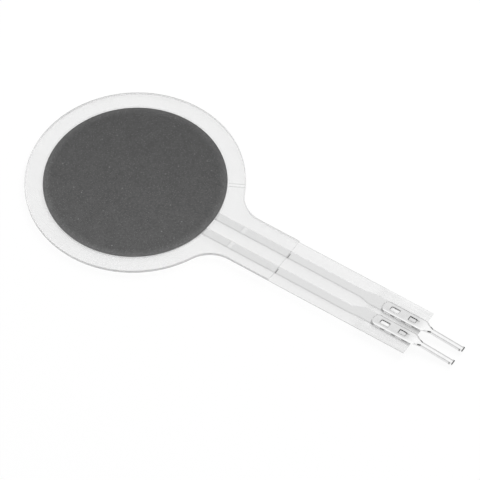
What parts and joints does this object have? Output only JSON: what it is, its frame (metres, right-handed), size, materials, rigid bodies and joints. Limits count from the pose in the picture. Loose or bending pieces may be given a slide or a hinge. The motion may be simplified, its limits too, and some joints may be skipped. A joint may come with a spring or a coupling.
{
  "type": "force sensing resistor",
  "caption": "Thin round force sensor: clear films with a printed resistive disc over a silver comb, on a flat tail that ends in crimped solder pins.",
  "frame": {"origin": "centre of the round head, on the rear face of the bottom film", "axes": "+X along the tail towards the pins, +Z through the layers towards the sensing face, so +Y is the left side seen from above with the pins ahead"},
  "size_m": [0.0676, 0.0304, 0.001],
  "materials": {
    "clear_film": "clear polyester film, smooth and glossy",
    "clear_adhesive": "clear acrylic adhesive, slightly hazy",
    "silver_ink": "screen-printed silver ink, satin",
    "carbon_ink": "screen-printed carbon ink, matte with a fine grain",
    "tinned_terminal": "bright tin plate on stamped brass"
  },
  "bodies": {
    "root": {"bottom_film": "clear_film", "electrode_left": "silver_ink", "electrode_right": "silver_ink", "spacer_adhesive": "clear_adhesive", "force_ink": "carbon_ink", "top_film": "clear_film", "terminal_left": "tinned_terminal", "terminal_right": "tinned_terminal"}
  },
  "joints": []
}
